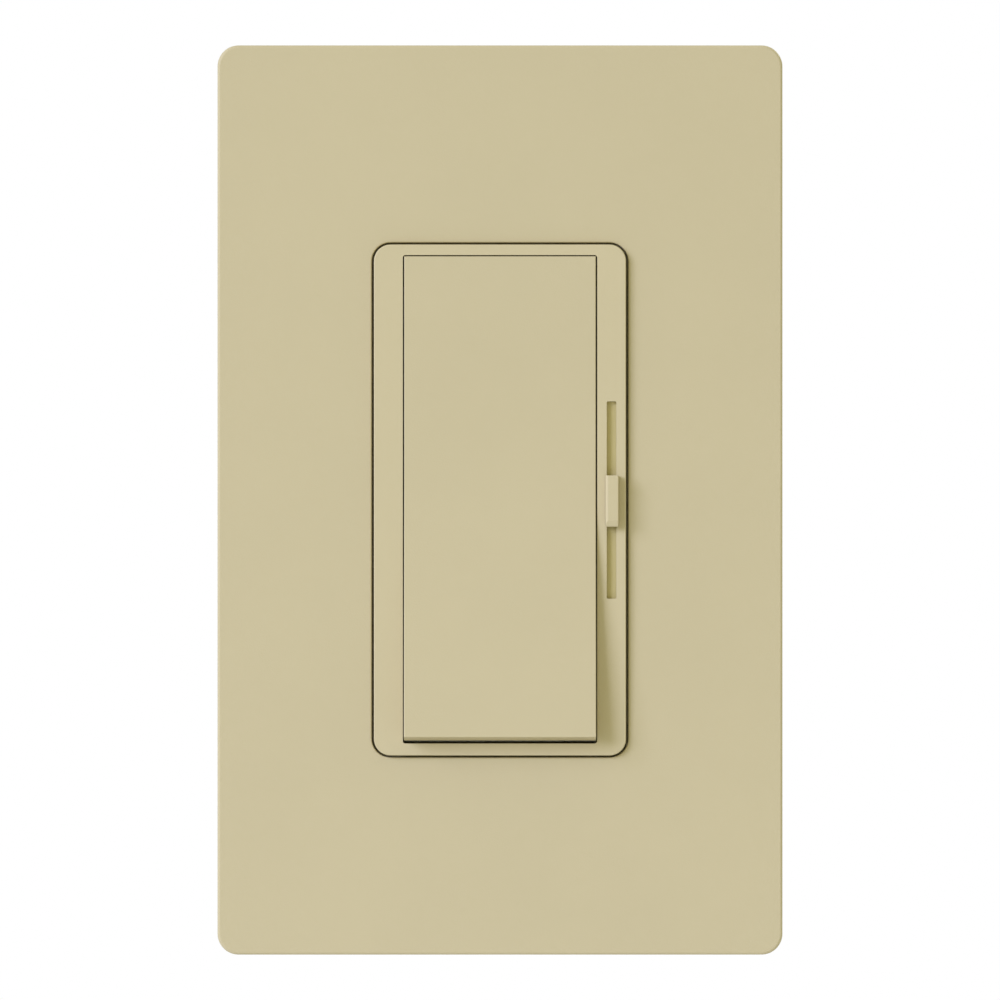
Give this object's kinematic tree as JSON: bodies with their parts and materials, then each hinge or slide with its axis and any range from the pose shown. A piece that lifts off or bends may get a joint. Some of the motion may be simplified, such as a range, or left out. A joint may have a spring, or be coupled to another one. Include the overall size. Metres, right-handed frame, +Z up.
{
  "type": "dimmer slide switch",
  "caption": "Wall dimmer with a large push paddle, a slim vertical slider beside it and a screwless cover plate, on a metal yoke with a rear housing.",
  "frame": {"origin": "centre of the wall plane that the cover plate's back rim rests on", "axes": "+X to the right as seen from the room, +Y into the wall, +Z up"},
  "size_m": [0.074, 0.0402, 0.119],
  "materials": {
    "ivory_plastic": "satin moulded thermoplastic, fine even texture, light ivory",
    "adapter_plastic": "plain moulded thermoplastic, light ivory",
    "black_plastic": "black glass-filled thermoplastic, fine matt texture",
    "aluminium": "stamped aluminium sheet, lightly brushed",
    "zinc_steel": "bright zinc-plated steel",
    "fibre": "red-brown vulcanised fibre",
    "grey_fibre": "grey fibre sheet",
    "brass": "bright rolled brass",
    "copper": "copper strip with a silver contact",
    "board": "green lacquered glass-epoxy laminate",
    "phenolic": "brown phenolic laminate with a carbon track",
    "white_plastic": "white acetal",
    "epoxy": "black moulding epoxy",
    "silicone_pad": "grey thermal pad",
    "ferrite": "yellow-coated iron powder core",
    "enamel_wire": "enamelled copper wire",
    "film_yellow": "yellow capacitor case",
    "dip_green": "green dipped coating",
    "dip_blue": "blue dipped coating",
    "beige_lacquer": "beige resistor lacquer",
    "tinned_wire": "tinned copper wire",
    "spring_steel": "spring steel wire"
  },
  "bodies": {
    "chassis": {"wallplate": "ivory_plastic", "adapter_plate": "adapter_plastic", "adapter_screws": "zinc_steel", "bezel": "ivory_plastic", "yoke": "aluminium", "mounting_screws": "zinc_steel", "screw_retainers": "fibre", "ground_tab": "brass", "ground_rivet": "brass", "back_housing": "black_plastic", "housing_cover": "black_plastic", "housing_screws": "zinc_steel", "insulator_sheet": "grey_fibre", "circuit_board": "board", "pot_body": "zinc_steel", "pot_track": "phenolic", "switch_frame": "black_plastic", "plunger_spring": "spring_steel", "rocker_pin": "zinc_steel", "fixed_contact": "brass", "common_terminal": "brass", "triac_body": "epoxy", "triac_tab": "aluminium", "triac_leads": "tinned_wire", "triac_pad": "silicone_pad", "triac_rivet": "aluminium", "choke_core": "ferrite", "choke_winding": "enamel_wire", "film_capacitor": "film_yellow", "timing_capacitor": "dip_green", "diac": "dip_blue", "resistors": "beige_lacquer", "varistor": "dip_blue", "component_leads": "tinned_wire", "lead_eyelets": "brass"},
    "paddle_body": {"paddle": "ivory_plastic"},
    "slider_body": {"slider_knob": "ivory_plastic", "slider_shutter": "ivory_plastic", "pot_carrier": "white_plastic", "pot_wiper": "copper"},
    "plunger_body": {"plunger": "white_plastic"},
    "rocker_body": {"contact_rocker": "white_plastic", "contact_blade": "copper"}
  },
  "joints": [
    {"name": "paddle_press", "type": "hinge", "parent": "chassis", "child": "paddle_body", "pos_m": [0, -0.004, 0.029], "axis": [1, 0, 0], "range_deg": [0, 2.5], "stiffness_Nm_per_rad": 0.6, "springref_deg": -5.73},
    {"name": "slider_travel", "type": "slide", "parent": "chassis", "child": "slider_body", "axis": [0, 0, 1], "range_m": [-0.0095, 0.0095]},
    {"name": "plunger_travel", "type": "slide", "parent": "chassis", "child": "plunger_body", "axis": [0, 1, 0], "range_m": [0, 0.0022], "deforming": ["plunger_spring"]},
    {"name": "rocker_tip", "type": "hinge", "parent": "chassis", "child": "rocker_body", "pos_m": [0, 0.012, -0.02], "axis": [1, 0, 0], "range_deg": [0, 16]}
  ],
  "couplings": [
    {"joint": "plunger_travel", "follows": "paddle_press", "m_per_rad": 0.049}
  ]
}
